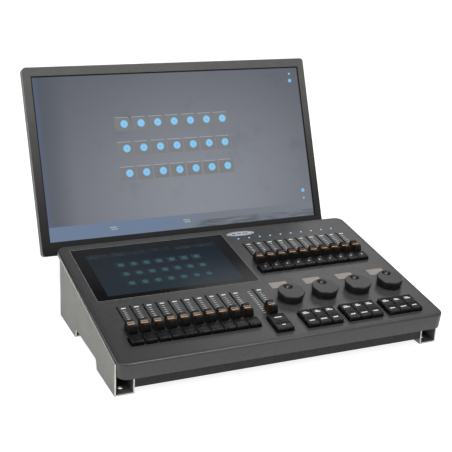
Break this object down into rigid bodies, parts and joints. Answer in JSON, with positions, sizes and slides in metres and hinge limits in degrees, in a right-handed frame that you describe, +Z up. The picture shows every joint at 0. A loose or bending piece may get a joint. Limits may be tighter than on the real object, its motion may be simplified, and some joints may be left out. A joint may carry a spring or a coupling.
{
  "type": "lighting control desk",
  "caption": "Sloping lighting control desk on side legs, with faders, keys, dials, a flush touch screen and a tilting monitor on a post behind it.",
  "frame": {"origin": "middle of the whole object's footprint, at the level its feet rest on", "axes": "+X to the operator's right, +Y from the operator towards the monitor, +Z up"},
  "size_m": [0.5352, 0.5543, 0.3599],
  "materials": {
    "leg_sheet": "satin powder coat",
    "deck_sheet": "satin powder coat",
    "touch_glass": "gloss",
    "display": "gloss",
    "circuit_board": "matte",
    "fader_plastic": "gloss",
    "track_metal": "satin",
    "key_plastic": "satin",
    "dial_plastic": "satin",
    "screw_zinc": "satin",
    "socket_plastic": "matte",
    "supply_case": "satin",
    "led_lens": "gloss",
    "label_film": "matte",
    "monitor_plastic": "satin",
    "stand_metal": "satin powder coat"
  },
  "bodies": {
    "desk": {"base_pan": "deck_sheet", "rear_panel": "deck_sheet", "leg_left": "leg_sheet", "leg_right": "leg_sheet", "leg_screws": "screw_zinc", "deck_cover": "deck_sheet", "touch_glass": "touch_glass", "display_module": "track_metal", "lower_fader_tracks": "track_metal", "upper_fader_tracks": "track_metal", "control_board": "circuit_board", "encoders": "track_metal", "key_switches": "key_plastic", "main_board": "circuit_board", "power_supply": "supply_case", "power_inlet": "socket_plastic", "data_sockets": "socket_plastic", "indicator_leds": "led_lens", "label_plates": "label_film", "stand_plate": "stand_metal", "stand_column": "stand_metal", "stand_screws": "screw_zinc", "hinge_pin": "screw_zinc"},
    "monitor": {"monitor_bezel": "monitor_plastic", "monitor_panel": "display", "monitor_rear_shell": "monitor_plastic", "tilt_bracket": "stand_metal", "bracket_screws": "screw_zinc"},
    "lower_fader_01": {"lower_fader_01": "fader_plastic"},
    "lower_fader_02": {"lower_fader_02": "fader_plastic"},
    "lower_fader_03": {"lower_fader_03": "fader_plastic"},
    "lower_fader_04": {"lower_fader_04": "fader_plastic"},
    "lower_fader_05": {"lower_fader_05": "fader_plastic"},
    "lower_fader_06": {"lower_fader_06": "fader_plastic"},
    "lower_fader_07": {"lower_fader_07": "fader_plastic"},
    "lower_fader_08": {"lower_fader_08": "fader_plastic"},
    "lower_fader_09": {"lower_fader_09": "fader_plastic"},
    "lower_fader_10": {"lower_fader_10": "fader_plastic"},
    "master_fader": {"master_fader": "fader_plastic"},
    "upper_fader_01": {"upper_fader_01": "fader_plastic"},
    "upper_fader_02": {"upper_fader_02": "fader_plastic"},
    "upper_fader_03": {"upper_fader_03": "fader_plastic"},
    "upper_fader_04": {"upper_fader_04": "fader_plastic"},
    "upper_fader_05": {"upper_fader_05": "fader_plastic"},
    "upper_fader_06": {"upper_fader_06": "fader_plastic"},
    "upper_fader_07": {"upper_fader_07": "fader_plastic"},
    "upper_fader_08": {"upper_fader_08": "fader_plastic"},
    "upper_fader_09": {"upper_fader_09": "fader_plastic"},
    "upper_fader_10": {"upper_fader_10": "fader_plastic"},
    "lower_flash_keys": {"lower_flash_keys": "key_plastic"},
    "upper_flash_keys": {"upper_flash_keys": "key_plastic"},
    "left_function_keys": {"left_function_keys": "key_plastic"},
    "middle_function_keys": {"middle_function_keys": "key_plastic"},
    "right_function_keys": {"right_function_keys": "key_plastic"},
    "front_transport_key": {"front_transport_key": "key_plastic"},
    "rear_transport_key": {"rear_transport_key": "key_plastic"},
    "dial_1": {"dial_1": "dial_plastic"},
    "dial_2": {"dial_2": "dial_plastic"},
    "dial_3": {"dial_3": "dial_plastic"},
    "dial_4": {"dial_4": "dial_plastic"}
  },
  "joints": [
    {"name": "monitor_tilt", "type": "hinge", "parent": "desk", "child": "monitor", "pos_m": [0, 0.23056, 0.19083], "axis": [1, 0, 0], "range_deg": [-8, 18]},
    {"name": "lower_fader_01_slide", "type": "slide", "parent": "desk", "child": "lower_fader_01", "axis": [0, 0.9888, 0.1495], "range_m": [0, 0.06]},
    {"name": "lower_fader_02_slide", "type": "slide", "parent": "desk", "child": "lower_fader_02", "axis": [0, 0.9888, 0.1495], "range_m": [0, 0.06]},
    {"name": "lower_fader_03_slide", "type": "slide", "parent": "desk", "child": "lower_fader_03", "axis": [0, 0.9888, 0.1495], "range_m": [0, 0.06]},
    {"name": "lower_fader_04_slide", "type": "slide", "parent": "desk", "child": "lower_fader_04", "axis": [0, 0.9888, 0.1495], "range_m": [0, 0.06]},
    {"name": "lower_fader_05_slide", "type": "slide", "parent": "desk", "child": "lower_fader_05", "axis": [0, 0.9888, 0.1495], "range_m": [0, 0.06]},
    {"name": "lower_fader_06_slide", "type": "slide", "parent": "desk", "child": "lower_fader_06", "axis": [0, 0.9888, 0.1495], "range_m": [0, 0.06]},
    {"name": "lower_fader_07_slide", "type": "slide", "parent": "desk", "child": "lower_fader_07", "axis": [0, 0.9888, 0.1495], "range_m": [0, 0.06]},
    {"name": "lower_fader_08_slide", "type": "slide", "parent": "desk", "child": "lower_fader_08", "axis": [0, 0.9888, 0.1495], "range_m": [0, 0.06]},
    {"name": "lower_fader_09_slide", "type": "slide", "parent": "desk", "child": "lower_fader_09", "axis": [0, 0.9888, 0.1495], "range_m": [0, 0.06]},
    {"name": "lower_fader_10_slide", "type": "slide", "parent": "desk", "child": "lower_fader_10", "axis": [0, 0.9888, 0.1495], "range_m": [0, 0.06]},
    {"name": "master_fader_slide", "type": "slide", "parent": "desk", "child": "master_fader", "axis": [0, 0.9888, 0.1495], "range_m": [0, 0.06]},
    {"name": "upper_fader_01_slide", "type": "slide", "parent": "desk", "child": "upper_fader_01", "axis": [0, 0.9888, 0.1495], "range_m": [0, 0.06]},
    {"name": "upper_fader_02_slide", "type": "slide", "parent": "desk", "child": "upper_fader_02", "axis": [0, 0.9888, 0.1495], "range_m": [0, 0.06]},
    {"name": "upper_fader_03_slide", "type": "slide", "parent": "desk", "child": "upper_fader_03", "axis": [0, 0.9888, 0.1495], "range_m": [0, 0.06]},
    {"name": "upper_fader_04_slide", "type": "slide", "parent": "desk", "child": "upper_fader_04", "axis": [0, 0.9888, 0.1495], "range_m": [0, 0.06]},
    {"name": "upper_fader_05_slide", "type": "slide", "parent": "desk", "child": "upper_fader_05", "axis": [0, 0.9888, 0.1495], "range_m": [0, 0.06]},
    {"name": "upper_fader_06_slide", "type": "slide", "parent": "desk", "child": "upper_fader_06", "axis": [0, 0.9888, 0.1495], "range_m": [0, 0.06]},
    {"name": "upper_fader_07_slide", "type": "slide", "parent": "desk", "child": "upper_fader_07", "axis": [0, 0.9888, 0.1495], "range_m": [0, 0.06]},
    {"name": "upper_fader_08_slide", "type": "slide", "parent": "desk", "child": "upper_fader_08", "axis": [0, 0.9888, 0.1495], "range_m": [0, 0.06]},
    {"name": "upper_fader_09_slide", "type": "slide", "parent": "desk", "child": "upper_fader_09", "axis": [0, 0.9888, 0.1495], "range_m": [0, 0.06]},
    {"name": "upper_fader_10_slide", "type": "slide", "parent": "desk", "child": "upper_fader_10", "axis": [0, 0.9888, 0.1495], "range_m": [0, 0.06]},
    {"name": "lower_flash_keys_press", "type": "slide", "parent": "desk", "child": "lower_flash_keys", "axis": [0, 0.1495, -0.9888], "range_m": [0, 0.002], "stiffness_N_per_m": 1500, "springref_m": -0.003},
    {"name": "upper_flash_keys_press", "type": "slide", "parent": "desk", "child": "upper_flash_keys", "axis": [0, 0.1495, -0.9888], "range_m": [0, 0.002], "stiffness_N_per_m": 1500, "springref_m": -0.003},
    {"name": "left_function_keys_press", "type": "slide", "parent": "desk", "child": "left_function_keys", "axis": [0, 0.1495, -0.9888], "range_m": [0, 0.002], "stiffness_N_per_m": 900, "springref_m": -0.003},
    {"name": "middle_function_keys_press", "type": "slide", "parent": "desk", "child": "middle_function_keys", "axis": [0, 0.1495, -0.9888], "range_m": [0, 0.002], "stiffness_N_per_m": 900, "springref_m": -0.003},
    {"name": "right_function_keys_press", "type": "slide", "parent": "desk", "child": "right_function_keys", "axis": [0, 0.1495, -0.9888], "range_m": [0, 0.002], "stiffness_N_per_m": 900, "springref_m": -0.003},
    {"name": "front_transport_key_press", "type": "slide", "parent": "desk", "child": "front_transport_key", "axis": [0, 0.1495, -0.9888], "range_m": [0, 0.002], "stiffness_N_per_m": 150, "springref_m": -0.003},
    {"name": "rear_transport_key_press", "type": "slide", "parent": "desk", "child": "rear_transport_key", "axis": [0, 0.1495, -0.9888], "range_m": [0, 0.002], "stiffness_N_per_m": 150, "springref_m": -0.003},
    {"name": "dial_1_spin", "type": "hinge", "parent": "desk", "child": "dial_1", "pos_m": [0.0453, -0.17675, 0.06845], "axis": [0, -0.1495, 0.9888], "continuous": true},
    {"name": "dial_2_spin", "type": "hinge", "parent": "desk", "child": "dial_2", "pos_m": [0.1048, -0.17675, 0.06845], "axis": [0, -0.1495, 0.9888], "continuous": true},
    {"name": "dial_3_spin", "type": "hinge", "parent": "desk", "child": "dial_3", "pos_m": [0.1643, -0.17675, 0.06845], "axis": [0, -0.1495, 0.9888], "continuous": true},
    {"name": "dial_4_spin", "type": "hinge", "parent": "desk", "child": "dial_4", "pos_m": [0.2238, -0.17675, 0.06845], "axis": [0, -0.1495, 0.9888], "continuous": true}
  ]
}
